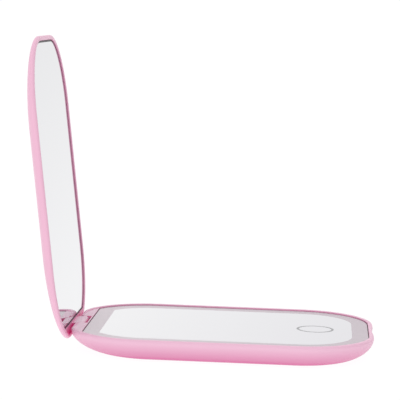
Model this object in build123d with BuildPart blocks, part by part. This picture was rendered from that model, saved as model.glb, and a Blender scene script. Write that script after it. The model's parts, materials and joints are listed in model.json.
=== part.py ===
"""Folding pocket mirror with a lighted glass panel in its base, standing with its lid open.

Frame: origin at the middle of the flat underside, +X from the hinge to the front edge, +Y across
the width, +Z up. All sizes are in millimetres. The lid is drawn shut and then turned open.
"""
import os
from math import cos, radians, sin

from build123d import *

# Overall sizes
LENGTH = 120.0
WIDTH = 87.0
BASE_DEPTH = 9.0
LID_DEPTH = 4.3
PARTING_GAP = 0.2
CORNER_RADIUS = 29.5
EDGE_ROUND = 0.95
RIM_WIDTH = 1.9
LID_OPENING = 97.1
ROUND_ANGLES = (0, 30, 60)
CURVE_ANGLES = (0, 12, 24, 36, 48, 60, 72, 81, 90)

# Curved undersides: how far the flat face draws in from each side, and how square the curve is
BASE_INSETS = (10.0, 11.9, 15.8)
BASE_POWER = 1.85
LID_INSETS = (8.2, 26.0, 26.0)
LID_POWER = 2.08

# Hinge
HINGE_SETBACK = 2.86
HINGE_DROP = 2.45
END_RADIUS = 2.5
KNUCKLE_RADIUS = 2.1
KNUCKLE_HALF = 7.8
NOTCH_HALF = 8.05
NOTCH_RADIUS = 2.4
NOTCH_FRONT = 2.9
NOTCH_LOWER_EDGE = 0.3
PIN_RADIUS = 0.75
PIN_HALF = 19.0
BUSH_RADIUS = 1.3
RUNNING_CLEARANCE = 0.03
BUSH_SLIT = 0.3

# Hinge strips, glass and its seats
STRIP_DROP = 0.35
STRIP_THICKNESS = 1.0
FIT_GAP = 0.1
GLASS_RECESS = 0.65
GLASS_THICKNESS = 1.1
LID_GLASS_THICKNESS = 1.0
GLASS_BACK = 3.5
LID_GLASS_BACK = 2.6
TAPE = 0.1
LID_SEAT = 0.1
PLATE_THICKNESS = 0.65
PLATE_INSETS = (5.1, 6.1, 4.6)
PLATE_WIDTH = 9.0
NECK_TOP = 1.2
TAPE_EDGE = 1.0
TAPE_WIDTH = 3.0

# Base shell and mid frame
FLOOR = 1.2
BLOCK_FRONT = 1.6
BLOCK_TOP = 1.05
FRAME_FLOOR = 1.0
FRAME_UNDERSIDE = 4.5
FRAME_INSETS = (3.9, 4.2, 5.0)
FLANGE_INSETS = (2.6, 2.7, 3.0)
FLANGE_HEIGHT = 6.2
TRAY_INSET = 4.9
SEAT_HEIGHT = 7.1
WEB_THICKNESS = 1.4
WEB_FOOT = 0.5
SEAT_WIDTH = 1.8
BOSS_RADIUS = 2.4
SCREW_RADIUS = 0.9
HEAD_RADIUS = 1.9
HEAD_HEIGHT = 1.1
HOLE_MARGIN = 0.3
FINGER_DEPTH = 0.8
FINGER_HALF = 8.5

# Light and electronics
SHEET = 0.15
GUIDE_INNER_INSET = 9.5
GUIDE_THICKNESS = 1.3
LED_STRIP_LENGTH = 68.0
LED_STRIP_THICKNESS = 0.2
LED_GAP = 0.15
LED_COUNT = 8
LED_SIZE = (2.2, 0.7, 1.0)
TOUCH_X = 36.8
TOUCH_RADIUS = 7.0
POST_RADIUS = 2.0
BOARD = (20.0, 40.0, -10.0, 36.0)
BOARD_HEIGHT = 3.5
BOARD_THICKNESS = 0.8
BOARD_NOTCH = 31.5
SOCKET_X = 29.5
SOCKET_Z = 3.9
SOCKET_SIZE = (8.9, 7.4, 3.1)
SOCKET_MOUTH = 39.8
SOCKET_WALL = 0.3
SOCKET_TONGUE = (6.6, 0.7)
BATTERY = (52.0, 36.0, 3.0)
BATTERY_PLACE = (-10.0, -8.0)
LEAD_RADIUS = 0.4
LEAD_SPOTS = (1.0, 3.5)
LEAD_RUN = 6.0
LEAD_BEND = 0.6
CHIPS = [(26.0, 4.0, 5.0), (33.0, 13.0, 4.0), (25.5, 21.0, 3.5)]
CHIP_HEIGHT = 0.9
SOFT_CORNER = 1.9
BOARD_CORNER = 0.95
FOAM = (-35.0, 28.0, 52.0)
MAGNET_RADIUS = 2.5
MAGNET_HEIGHT = 1.5
LID_MAGNET_HEIGHT = 1.2
MAGNET_SPOTS = [(45.8, -11.0), (45.8, 11.0)]
FRAME_SCREW_SPOTS = [(-40.0, -24.0), (-40.0, 24.0), (46.5, -20.5), (46.5, 20.5)]
BOARD_SCREW_SPOTS = [(22.5, -7.5), (37.3, 33.0)]

# Worked out from the sizes above
HINGE_X = HINGE_SETBACK - LENGTH / 2
HINGE_Z = BASE_DEPTH - HINGE_DROP
LID_PLANE = BASE_DEPTH + PARTING_GAP
GLASS_TOP = BASE_DEPTH - GLASS_RECESS
GLASS_UNDERSIDE = GLASS_TOP - GLASS_THICKNESS
FRAME_TOP = GLASS_UNDERSIDE - TAPE
TRAY_FLOOR = FRAME_UNDERSIDE + FRAME_FLOOR
GUIDE_FLOOR = TRAY_FLOOR + SHEET
GLASS_BACK_X = HINGE_X + GLASS_BACK
LID_GLASS_BACK_X = HINGE_X + LID_GLASS_BACK
LID_GLASS_FACE = LID_PLANE + GLASS_RECESS
LID_GLASS_REAR = LID_GLASS_FACE + LID_GLASS_THICKNESS
HINGE_AXIS = Axis((HINGE_X, 0, HINGE_Z), (0, 1, 0))

os.makedirs("parts", exist_ok=True)


def outline(height, side, front, hinge):
    """Face of the rounded outline at a height, drawn in by an inset on each side."""
    left = -LENGTH / 2 + hinge
    right = LENGTH / 2 - front
    half = WIDTH / 2 - side
    front_radius = CORNER_RADIUS - (side + front) / 2
    hinge_radius = CORNER_RADIUS - (side + hinge) / 2
    corners = [(left, -half), (right, -half), (right, half), (left, half)]
    radii = [hinge_radius, front_radius, front_radius, hinge_radius]
    with BuildSketch(Plane.XY.offset(height)) as sketch:
        with BuildLine():
            FilletPolyline(*corners, radius=radii, close=True)
        make_face()
    return sketch.sketch.face()


def alike(inset):
    """The same inset for the sides, the front and the hinge end."""
    return (inset, inset, inset)


def even_outline(height, inset):
    """Face of the outline drawn in by the same inset all round."""
    return outline(height, *alike(inset))


def edge_sections(plane_height, direction):
    """Sections of the quarter-round at the rim, from the parting plane outwards."""
    sections = []
    for angle in ROUND_ANGLES:
        inset = EDGE_ROUND * (1 - sin(radians(angle)))
        drop = EDGE_ROUND * (1 - cos(radians(angle)))
        sections.append(even_outline(plane_height + direction * drop, inset))
    return sections


def curve_sections(start, depth, direction, insets, power, wall):
    """Sections of the curved back, from where it is widest to its flat face."""
    sections = []
    for angle in CURVE_ANGLES:
        draw_in = 1 - abs(cos(radians(angle))) ** (2 / power)
        fall = sin(radians(angle)) ** (2 / power)
        side, front, hinge = (wall + draw_in * inset for inset in insets)
        sections.append(outline(start + direction * depth * fall, side, front, hinge))
    return sections


def cut_outline(height, insets, back):
    """Face of the outline, cut off by a straight line at the hinge end."""
    with BuildSketch(Plane.XY.offset(height)) as sketch:
        add(outline(height, *insets))
        split(bisect_by=Plane.YZ.offset(back), keep=Keep.TOP)
    return sketch.sketch.face()


def finish(part, name):
    """Labels a finished piece and writes its file."""
    part.label = name
    export_step(part, f"parts/{name}.step")


def open_lid(part):
    """Turns a piece of the shut lid to where it stands open."""
    return part.rotate(HINGE_AXIS, -LID_OPENING)


# Base shell: pebble-shaped tray with its rim, the saddle of the hinge pin and the finger notch
base_sections = edge_sections(BASE_DEPTH, -1)
base_sections += curve_sections(
    BASE_DEPTH - EDGE_ROUND, BASE_DEPTH - EDGE_ROUND, -1, BASE_INSETS, BASE_POWER, 0
)
cavity_sections = curve_sections(SEAT_HEIGHT, SEAT_HEIGHT - FLOOR, -1, BASE_INSETS, BASE_POWER, RIM_WIDTH)
block_front_x = HINGE_X + BLOCK_FRONT
block_top_z = HINGE_Z + BLOCK_TOP
finger_radius = (FINGER_HALF**2 + FINGER_DEPTH**2) / (2 * FINGER_DEPTH)

with BuildPart() as base_cavity:
    loft(sections=cavity_sections)
    extrude(even_outline(SEAT_HEIGHT, RIM_WIDTH), amount=BASE_DEPTH, dir=(0, 0, 1))
    split(bisect_by=Plane.YZ.offset(block_front_x), keep=Keep.TOP)
    extrude(even_outline(block_top_z, RIM_WIDTH), amount=BASE_DEPTH, dir=(0, 0, 1))

with BuildPart() as base_shell:
    loft(sections=base_sections)
    add(base_cavity.part, mode=Mode.SUBTRACT)
    # The hinge end is rounded about the hinge axis, so that the lid's rim turns past it
    with BuildSketch(Plane.XZ):
        with Locations((HINGE_X, HINGE_Z)):
            Rectangle(BASE_DEPTH, BASE_DEPTH, align=(Align.MAX, Align.MIN))
            Circle(END_RADIUS, mode=Mode.SUBTRACT)
    extrude(amount=WIDTH / 2, both=True, mode=Mode.SUBTRACT)
    # Notch for the lid's knuckle; its lower edge stops the lid
    with BuildSketch(Plane.XZ):
        with Locations((HINGE_X, HINGE_Z)):
            Circle(NOTCH_RADIUS)
            Rectangle(NOTCH_FRONT, BASE_DEPTH, align=(Align.MIN, Align.MIN))
        with Locations((HINGE_X + NOTCH_LOWER_EDGE, 0)):
            Rectangle(BASE_DEPTH, 2 * BASE_DEPTH, align=(Align.MAX, Align.MIN))
    extrude(amount=NOTCH_HALF, both=True, mode=Mode.SUBTRACT)
    # Open channel that the pin is laid in
    with BuildSketch(Plane.XZ):
        with Locations((HINGE_X, HINGE_Z)):
            Circle(PIN_RADIUS)
            Rectangle(2 * PIN_RADIUS, BASE_DEPTH, align=(Align.CENTER, Align.MIN))
    extrude(amount=PIN_HALF, both=True, mode=Mode.SUBTRACT)
    # Finger notch in the front edge
    with BuildSketch(Plane.XY):
        with Locations((LENGTH / 2 - FINGER_DEPTH + finger_radius, 0)):
            Circle(finger_radius)
    extrude(amount=BASE_DEPTH, mode=Mode.SUBTRACT)
    # Screw posts
    with BuildSketch(Plane.XY.offset(FLOOR / 2)):
        with Locations(*FRAME_SCREW_SPOTS):
            Circle(BOSS_RADIUS)
    extrude(amount=FRAME_UNDERSIDE - FLOOR / 2)
    with BuildSketch(Plane.XY.offset(FLOOR / 2)):
        with Locations(*BOARD_SCREW_SPOTS):
            Circle(BOSS_RADIUS)
    extrude(amount=BOARD_HEIGHT - FLOOR / 2)
    with BuildSketch(Plane.XY.offset(FLOOR)):
        with Locations(*FRAME_SCREW_SPOTS, *BOARD_SCREW_SPOTS):
            Circle(SCREW_RADIUS)
    extrude(amount=FRAME_UNDERSIDE, mode=Mode.SUBTRACT)
    # Opening for the charging plug
    with BuildSketch(Plane.XZ.offset(-WIDTH / 2)):
        with Locations((SOCKET_X, SOCKET_Z)):
            SlotOverall(SOCKET_SIZE[0] + 2 * HOLE_MARGIN, SOCKET_SIZE[2] + 2 * HOLE_MARGIN)
    extrude(amount=SOCKET_SIZE[1], mode=Mode.SUBTRACT)
finish(base_shell.part, "base_shell")

# Mid frame: shallow tray that carries the glass, with the hinge strip standing behind it
strip_front_x = GLASS_BACK_X - FIT_GAP
web_back_x = strip_front_x - WEB_THICKNESS
seat_front_x = strip_front_x + SEAT_WIDTH
strip_top = BASE_DEPTH - STRIP_DROP
strip_bottom = strip_top - STRIP_THICKNESS
strip_inset = RIM_WIDTH + FIT_GAP
keeper_foot = HINGE_Z + PIN_RADIUS
socket_bay = 2 * (WIDTH / 2 - BOARD_NOTCH)

with BuildPart() as base_frame:
    extrude(cut_outline(FRAME_UNDERSIDE, FRAME_INSETS, web_back_x), amount=FLANGE_HEIGHT - FRAME_UNDERSIDE)
    extrude(cut_outline(FLANGE_HEIGHT, FLANGE_INSETS, web_back_x), amount=FRAME_TOP - FLANGE_HEIGHT)
    extrude(cut_outline(TRAY_FLOOR, alike(TRAY_INSET), seat_front_x), amount=BASE_DEPTH, mode=Mode.SUBTRACT)
    # Web up to the hinge strip, and the strip itself
    with BuildSketch(Plane.XY.offset(FRAME_UNDERSIDE + WEB_FOOT)):
        add(outline(FRAME_UNDERSIDE + WEB_FOOT, *FRAME_INSETS))
        split(bisect_by=Plane.YZ.offset(web_back_x), keep=Keep.TOP)
        split(bisect_by=Plane.YZ.offset(strip_front_x), keep=Keep.BOTTOM)
    extrude(amount=strip_top - FRAME_UNDERSIDE - WEB_FOOT)
    with BuildSketch(Plane.XY.offset(strip_bottom)):
        add(even_outline(strip_bottom, strip_inset))
        split(bisect_by=Plane.YZ.offset(strip_front_x), keep=Keep.BOTTOM)
    extrude(amount=STRIP_THICKNESS)
    # Keepers that close the pin's channel
    with BuildSketch(Plane.XZ):
        with Locations((HINGE_X, keeper_foot)):
            Rectangle(2 * (PIN_RADIUS - FIT_GAP), strip_top - keeper_foot, align=(Align.CENTER, Align.MIN))
    extrude(amount=PIN_HALF - FIT_GAP, both=True)
    # Notch for the knuckle
    with BuildSketch(Plane.XZ):
        with Locations((HINGE_X + NOTCH_FRONT, FRAME_UNDERSIDE)):
            Rectangle(BASE_DEPTH, BASE_DEPTH, align=(Align.MAX, Align.MIN))
    extrude(amount=NOTCH_HALF, both=True, mode=Mode.SUBTRACT)
    # Holes for the screws, the heads of the board's screws, the touch post and the socket
    with BuildSketch(Plane.XY.offset(FRAME_UNDERSIDE)):
        with Locations(*FRAME_SCREW_SPOTS):
            Circle(SCREW_RADIUS + FIT_GAP)
        with Locations(*BOARD_SCREW_SPOTS):
            Circle(HEAD_RADIUS + FIT_GAP)
        with Locations((TOUCH_X, 0)):
            Circle(POST_RADIUS + HOLE_MARGIN)
        with Locations((SOCKET_X, WIDTH / 2)):
            Rectangle(SOCKET_SIZE[0] + 2 * HOLE_MARGIN, socket_bay)
    extrude(amount=FRAME_FLOOR, mode=Mode.SUBTRACT)
finish(base_frame.part, "base_frame")

# Base glass and the tape under its edge
tape_outer = tuple(inset + FIT_GAP for inset in FLANGE_INSETS)

with BuildPart() as base_glass:
    extrude(cut_outline(GLASS_UNDERSIDE, alike(strip_inset), GLASS_BACK_X), amount=GLASS_THICKNESS)
finish(base_glass.part, "base_glass")

with BuildPart() as glass_tape:
    extrude(cut_outline(FRAME_TOP, tape_outer, GLASS_BACK_X + FIT_GAP), amount=TAPE)
    extrude(cut_outline(FRAME_TOP, alike(TRAY_INSET), seat_front_x), amount=TAPE, mode=Mode.SUBTRACT)
finish(glass_tape.part, "glass_tape")

# Light guide, the reflector under it, and the two strips of diodes that light it
guide_outer_inset = TRAY_INSET + FIT_GAP
guide_back_x = seat_front_x + FIT_GAP
guide_inner_back_x = guide_back_x + GUIDE_INNER_INSET - guide_outer_inset
led_y = WIDTH / 2 - GUIDE_INNER_INSET - LED_GAP - LED_SIZE[1] / 2
led_strip_y = led_y - (LED_SIZE[1] + LED_STRIP_THICKNESS) / 2
led_pitch = LED_STRIP_LENGTH / LED_COUNT

with BuildPart() as light_guide:
    extrude(cut_outline(GUIDE_FLOOR, alike(guide_outer_inset), guide_back_x), amount=GUIDE_THICKNESS)
    extrude(
        cut_outline(GUIDE_FLOOR, alike(GUIDE_INNER_INSET), guide_inner_back_x),
        amount=GUIDE_THICKNESS,
        mode=Mode.SUBTRACT,
    )
finish(light_guide.part, "light_guide")

with BuildPart() as reflector_sheet:
    extrude(cut_outline(TRAY_FLOOR, alike(guide_outer_inset), guide_back_x), amount=SHEET)
    with BuildSketch(Plane.XY.offset(TRAY_FLOOR)):
        with Locations(*FRAME_SCREW_SPOTS):
            Circle(HEAD_RADIUS + HOLE_MARGIN)
        with Locations((TOUCH_X, 0)):
            Circle(POST_RADIUS + HOLE_MARGIN)
    extrude(amount=SHEET, mode=Mode.SUBTRACT)
finish(reflector_sheet.part, "reflector_sheet")

with BuildPart() as led_strips:
    with BuildSketch(Plane.XY.offset(GUIDE_FLOOR)):
        with Locations((0, led_strip_y), (0, -led_strip_y)):
            Rectangle(LED_STRIP_LENGTH, LED_STRIP_THICKNESS)
    extrude(amount=GUIDE_THICKNESS)
finish(led_strips.part, "led_strips")

with BuildPart() as leds:
    with BuildSketch(Plane.XY.offset(GUIDE_FLOOR + LED_GAP)):
        with GridLocations(led_pitch, 2 * led_y, LED_COUNT, 2):
            Rectangle(LED_SIZE[0], LED_SIZE[1])
    extrude(amount=LED_SIZE[2])
finish(leds.part, "leds")

# Foam behind the middle of the glass, and the touch sensor
foam_length = FOAM[1] - FOAM[0]

with BuildPart() as foam_pad:
    with BuildSketch(Plane.XY.offset(GUIDE_FLOOR)):
        with Locations(((FOAM[0] + FOAM[1]) / 2, 0)):
            RectangleRounded(foam_length, FOAM[2], SOFT_CORNER)
    extrude(amount=GLASS_UNDERSIDE - GUIDE_FLOOR)
finish(foam_pad.part, "foam_pad")

with BuildPart() as touch_pad:
    with BuildSketch(Plane.XY.offset(GLASS_UNDERSIDE - SHEET)):
        with Locations((TOUCH_X, 0)):
            Circle(TOUCH_RADIUS)
    extrude(amount=SHEET)
finish(touch_pad.part, "touch_pad")

with BuildPart() as touch_post:
    with BuildSketch(Plane.XY.offset(BOARD_HEIGHT + BOARD_THICKNESS)):
        with Locations((TOUCH_X, 0)):
            Circle(POST_RADIUS)
    extrude(amount=GLASS_UNDERSIDE - SHEET - BOARD_HEIGHT - BOARD_THICKNESS)
finish(touch_post.part, "touch_post")

# Main board with its chips, screws and charging socket
board_length = BOARD[1] - BOARD[0]
board_width = BOARD[3] - BOARD[2]
board_middle = ((BOARD[0] + BOARD[1]) / 2, (BOARD[2] + BOARD[3]) / 2)

with BuildPart() as main_board:
    with BuildSketch(Plane.XY.offset(BOARD_HEIGHT)):
        with Locations(board_middle):
            RectangleRounded(board_length, board_width, BOARD_CORNER)
        with Locations((SOCKET_X, WIDTH / 2)):
            Rectangle(SOCKET_SIZE[0] + HOLE_MARGIN, socket_bay, mode=Mode.SUBTRACT)
        with Locations(*BOARD_SCREW_SPOTS):
            Circle(SCREW_RADIUS + FIT_GAP, mode=Mode.SUBTRACT)
    extrude(amount=BOARD_THICKNESS)
finish(main_board.part, "main_board")

with BuildPart() as board_chips:
    for chip_x, chip_y, chip_size in CHIPS:
        with BuildSketch(Plane.XY.offset(BOARD_HEIGHT)):
            with Locations((chip_x, chip_y)):
                Rectangle(chip_size, chip_size)
        extrude(amount=-CHIP_HEIGHT)
finish(board_chips.part, "board_chips")

with BuildPart() as board_screws:
    with BuildSketch(Plane.XY.offset(FLOOR)):
        with Locations(*BOARD_SCREW_SPOTS):
            Circle(SCREW_RADIUS)
    extrude(amount=BOARD_HEIGHT + BOARD_THICKNESS - FLOOR)
    with BuildSketch(Plane.XY.offset(BOARD_HEIGHT + BOARD_THICKNESS)):
        with Locations(*BOARD_SCREW_SPOTS):
            Circle(HEAD_RADIUS)
    extrude(amount=HEAD_HEIGHT)
finish(board_screws.part, "board_screws")

with BuildPart() as usb_socket:
    with BuildSketch(Plane.XZ.offset(-SOCKET_MOUTH)):
        with Locations((SOCKET_X, SOCKET_Z)):
            SlotOverall(SOCKET_SIZE[0], SOCKET_SIZE[2])
    extrude(amount=SOCKET_SIZE[1])
    with BuildSketch(Plane.XZ.offset(-SOCKET_MOUTH)):
        with Locations((SOCKET_X, SOCKET_Z)):
            SlotOverall(SOCKET_SIZE[0] - 2 * SOCKET_WALL, SOCKET_SIZE[2] - 2 * SOCKET_WALL)
            Rectangle(SOCKET_TONGUE[0], SOCKET_TONGUE[1], mode=Mode.SUBTRACT)
    extrude(amount=SOCKET_SIZE[1] - 2 * SOCKET_WALL, mode=Mode.SUBTRACT)
finish(usb_socket.part, "usb_socket")

# Battery, its tape and its two leads
battery_front_x = BATTERY_PLACE[0] + BATTERY[0] / 2
lead_z = FLOOR + BATTERY[2] / 2
lead_end_x = battery_front_x + LEAD_RUN

with BuildPart() as battery_tape:
    with BuildSketch(Plane.XY.offset(FLOOR)):
        with Locations(BATTERY_PLACE):
            Rectangle(BATTERY[0] / 2, BATTERY[1] / 2)
    extrude(amount=TAPE)
finish(battery_tape.part, "battery_tape")

with BuildPart() as battery:
    with BuildSketch(Plane.XY.offset(FLOOR + TAPE)):
        with Locations(BATTERY_PLACE):
            RectangleRounded(BATTERY[0], BATTERY[1], SOFT_CORNER)
    extrude(amount=BATTERY[2])
finish(battery.part, "battery")

with BuildPart() as battery_leads:
    for lead_y in LEAD_SPOTS:
        with BuildLine(Plane.XZ.offset(-lead_y)) as lead_path:
            FilletPolyline(
                (battery_front_x, lead_z),
                (lead_end_x, lead_z),
                (lead_end_x, BOARD_HEIGHT),
                radius=LEAD_BEND,
            )
        with BuildSketch(Plane(lead_path.line @ 0, z_dir=lead_path.line % 0)):
            Circle(LEAD_RADIUS)
        sweep(path=lead_path.line)
finish(battery_leads.part, "battery_leads")

# Closing magnets and the frame's screws
with BuildPart() as base_magnets:
    with BuildSketch(Plane.XY.offset(GUIDE_FLOOR)):
        with Locations(*MAGNET_SPOTS):
            Circle(MAGNET_RADIUS)
    extrude(amount=MAGNET_HEIGHT)
finish(base_magnets.part, "base_magnets")

with BuildPart() as frame_screws:
    with BuildSketch(Plane.XY.offset(FLOOR)):
        with Locations(*FRAME_SCREW_SPOTS):
            Circle(SCREW_RADIUS)
    extrude(amount=TRAY_FLOOR - FLOOR)
    with BuildSketch(Plane.XY.offset(TRAY_FLOOR)):
        with Locations(*FRAME_SCREW_SPOTS):
            Circle(HEAD_RADIUS)
    extrude(amount=HEAD_HEIGHT)
finish(frame_screws.part, "frame_screws")

with BuildPart() as hinge_pin:
    with BuildSketch(Plane.XZ):
        with Locations((HINGE_X, HINGE_Z)):
            Circle(PIN_RADIUS)
    extrude(amount=PIN_HALF, both=True)
finish(hinge_pin.part, "hinge_pin")

# Lid shell: thin bowed cover with its rim
lid_sections = edge_sections(LID_PLANE, 1)
lid_sections += curve_sections(
    LID_PLANE + EDGE_ROUND, LID_DEPTH - EDGE_ROUND, 1, LID_INSETS, LID_POWER, 0
)
plate_floor = LID_GLASS_REAR + LID_SEAT
plate_pocket = tuple(inset - FIT_GAP for inset in PLATE_INSETS)

with BuildPart() as lid_shell:
    loft(sections=lid_sections)
    extrude(
        even_outline(LID_PLANE, RIM_WIDTH),
        amount=plate_floor - LID_PLANE,
        dir=(0, 0, 1),
        mode=Mode.SUBTRACT,
    )
    extrude(
        outline(plate_floor, *plate_pocket),
        amount=PLATE_THICKNESS + LID_SEAT / 2,
        dir=(0, 0, 1),
        mode=Mode.SUBTRACT,
    )
    with BuildSketch(Plane.XY.offset(plate_floor)):
        with Locations(*MAGNET_SPOTS):
            Circle(MAGNET_RADIUS + FIT_GAP / 2)
    extrude(amount=LID_MAGNET_HEIGHT + LID_SEAT / 2, mode=Mode.SUBTRACT)
    # Notch in the end wall for the knuckle's neck
    with BuildSketch(Plane.XZ):
        with Locations((HINGE_X + HINGE_SETBACK, LID_PLANE + NECK_TOP + LID_SEAT / 2)):
            Rectangle(BASE_DEPTH, BASE_DEPTH, align=Align.MAX)
    extrude(amount=KNUCKLE_HALF + LID_SEAT / 2, both=True, mode=Mode.SUBTRACT)
finish(open_lid(lid_shell.part), "lid_shell")

# Lid frame: carrier plate with the hinge strip, the neck and the knuckle
lid_strip_front_x = LID_GLASS_BACK_X - FIT_GAP
plate_window = tuple(inset + PLATE_WIDTH for inset in PLATE_INSETS)

with BuildPart() as lid_frame:
    extrude(outline(plate_floor, *PLATE_INSETS), amount=PLATE_THICKNESS, dir=(0, 0, 1))
    extrude(outline(plate_floor, *plate_window), amount=PLATE_THICKNESS, dir=(0, 0, 1), mode=Mode.SUBTRACT)
    with BuildSketch(Plane.XY.offset(plate_floor)):
        with Locations(*MAGNET_SPOTS):
            Circle(MAGNET_RADIUS + FIT_GAP / 2)
    extrude(amount=PLATE_THICKNESS, mode=Mode.SUBTRACT)
    with BuildSketch(Plane.XY.offset(LID_PLANE + STRIP_DROP)):
        add(even_outline(LID_PLANE + STRIP_DROP, strip_inset))
        split(bisect_by=Plane.YZ.offset(lid_strip_front_x), keep=Keep.BOTTOM)
    extrude(amount=plate_floor - LID_PLANE - STRIP_DROP)
    with BuildSketch(Plane.XZ):
        with Locations((HINGE_X, HINGE_Z)):
            Circle(KNUCKLE_RADIUS)
            Rectangle(2 * KNUCKLE_RADIUS, LID_PLANE + NECK_TOP - HINGE_Z, align=(Align.CENTER, Align.MIN))
    extrude(amount=KNUCKLE_HALF, both=True)
    with BuildSketch(Plane.XZ):
        with Locations((HINGE_X, HINGE_Z)):
            Circle(BUSH_RADIUS)
    extrude(amount=KNUCKLE_HALF, both=True, mode=Mode.SUBTRACT)
finish(open_lid(lid_frame.part), "lid_frame")

# Friction bush in the knuckle, split along its length
with BuildPart() as friction_bush:
    with BuildSketch(Plane.XZ):
        with Locations((HINGE_X, HINGE_Z)):
            Circle(BUSH_RADIUS)
            Circle(PIN_RADIUS + RUNNING_CLEARANCE, mode=Mode.SUBTRACT)
            Rectangle(BUSH_SLIT, BASE_DEPTH, align=(Align.CENTER, Align.MIN), mode=Mode.SUBTRACT)
    extrude(amount=KNUCKLE_HALF, both=True)
finish(open_lid(friction_bush.part), "friction_bush")

# Lid mirror, the tape behind it, and the lid's magnets
tape_edge = RIM_WIDTH + TAPE_EDGE

with BuildPart() as lid_mirror:
    extrude(
        cut_outline(LID_GLASS_FACE, alike(strip_inset), LID_GLASS_BACK_X), amount=LID_GLASS_THICKNESS
    )
finish(open_lid(lid_mirror.part), "lid_mirror")

with BuildPart() as mirror_tape:
    extrude(cut_outline(LID_GLASS_REAR, alike(tape_edge), LID_GLASS_BACK_X + FIT_GAP), amount=LID_SEAT)
    extrude(
        cut_outline(LID_GLASS_REAR, alike(tape_edge + TAPE_WIDTH), LID_GLASS_BACK_X + TAPE_WIDTH),
        amount=LID_SEAT,
        mode=Mode.SUBTRACT,
    )
finish(open_lid(mirror_tape.part), "mirror_tape")

with BuildPart() as lid_magnets:
    with BuildSketch(Plane.XY.offset(plate_floor)):
        with Locations(*MAGNET_SPOTS):
            Circle(MAGNET_RADIUS)
    extrude(amount=LID_MAGNET_HEIGHT)
finish(open_lid(lid_magnets.part), "lid_magnets")
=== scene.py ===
"""Folding pocket mirror with a lighted panel: its visible pieces and finishes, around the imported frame.

Shapes are worked out in millimetres and brought to metres when a piece is completed. The lid's pieces
are modelled on the shut lid and then turned open about the hinge.
"""
import json
import logging
from collections.abc import Callable, Iterator
from contextlib import contextmanager
from dataclasses import dataclass
from enum import Enum
from math import cos, radians, sin

import bmesh
import bpy
from mathutils import Matrix, Vector


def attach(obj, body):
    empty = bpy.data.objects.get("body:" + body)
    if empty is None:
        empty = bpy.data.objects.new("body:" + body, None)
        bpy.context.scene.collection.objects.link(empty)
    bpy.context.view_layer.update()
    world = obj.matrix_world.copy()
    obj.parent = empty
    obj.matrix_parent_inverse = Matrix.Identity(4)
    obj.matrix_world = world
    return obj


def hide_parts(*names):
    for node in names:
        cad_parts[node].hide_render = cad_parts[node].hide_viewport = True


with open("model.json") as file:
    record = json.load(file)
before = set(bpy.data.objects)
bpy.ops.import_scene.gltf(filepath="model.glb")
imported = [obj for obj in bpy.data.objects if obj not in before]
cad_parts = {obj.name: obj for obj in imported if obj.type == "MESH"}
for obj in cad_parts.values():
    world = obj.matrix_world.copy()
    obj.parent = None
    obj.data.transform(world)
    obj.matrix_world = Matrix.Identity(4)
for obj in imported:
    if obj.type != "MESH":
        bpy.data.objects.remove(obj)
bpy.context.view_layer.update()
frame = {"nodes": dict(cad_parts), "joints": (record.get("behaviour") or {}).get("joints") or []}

MM = 0.001
TINY = 1e-3
MERGE_DISTANCE = 2e-3
WALL_STEP = 0.02
FLOOR_DROP = 0.05 * MM
MAX_SCREW_WIDTH = 4.0
ZONE_MARGIN = 0.05
CUT_CLEARANCE = 1.0
CUT_OVERLAP = 0.1
ROD_SIDES = 64
SMOOTH_ANGLE = radians(32)
EDGE_ANGLES = (0, 15, 30, 45, 60, 75)
LIP_ANGLES = (0, 30, 60, 90)
AO_SAMPLES = 12
COAT_ROUGHNESS = 0.15
RELIEF_HEIGHT = 0.1 * MM
NOISE_DETAIL = 4.0
BRUSHED_STRETCH = (1.0, 0.02, 1.0)
TRACK_SHADES = (1.0, 0.6, 0.0)
LOG = logging.getLogger("pocket_mirror")

Colour = tuple[float, float, float]


class Body(Enum):
    """The two moving bodies of the mirror."""

    BASE = "base"
    LID = "lid"


class Pattern(Enum):
    """How a finish varies over its surface."""

    GRAIN = "grain"
    BRUSHED = "brushed"
    CELLS = "cells"
    TRACKS = "tracks"


# ---------------------------------------------------------------------------------------- workshop


def make_active(piece: bpy.types.Object) -> None:
    """Selects one piece and nothing else.

    Args:
        piece: The piece to select.
    """
    bpy.ops.object.select_all(action="DESELECT")
    piece.select_set(True)
    bpy.context.view_layer.objects.active = piece


@contextmanager
def edit(piece: bpy.types.Object) -> Iterator[None]:
    """Opens a piece in edit mode with nothing selected, and closes it afterwards.

    Args:
        piece: The mesh object to work on.
    """
    make_active(piece)
    bpy.ops.object.mode_set(mode="EDIT")
    bpy.ops.mesh.select_mode(type="VERT")
    bpy.ops.mesh.select_all(action="DESELECT")
    yield
    bpy.ops.object.mode_set(mode="OBJECT")


def pick(piece: bpy.types.Object, chosen: Callable[[Vector], bool]) -> None:
    """Selects, in edit mode, the vertices chosen by their place.

    Args:
        piece: The mesh object that is open in edit mode.
        chosen: Says of a place, in millimetres, whether its vertex is picked.
    """
    bpy.ops.mesh.select_mode(type="VERT")
    bpy.ops.mesh.select_all(action="DESELECT")
    shape = bmesh.from_edit_mesh(piece.data)
    for vertex in shape.verts:
        if chosen(vertex.co):
            vertex.select_set(True)
    shape.select_flush(True)
    bmesh.update_edit_mesh(piece.data)


def block(low: Vector, high: Vector) -> bpy.types.Object:
    """Adds a box between two corners.

    Args:
        low: The lowest corner.
        high: The highest corner.

    Returns:
        The box, to be cut or to cut with.
    """
    bpy.ops.object.select_all(action="DESELECT")
    bpy.ops.mesh.primitive_cube_add(size=1.0, location=(low + high) / 2)
    box = bpy.context.object
    box.scale = high - low
    bpy.ops.object.transform_apply()
    return box


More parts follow.
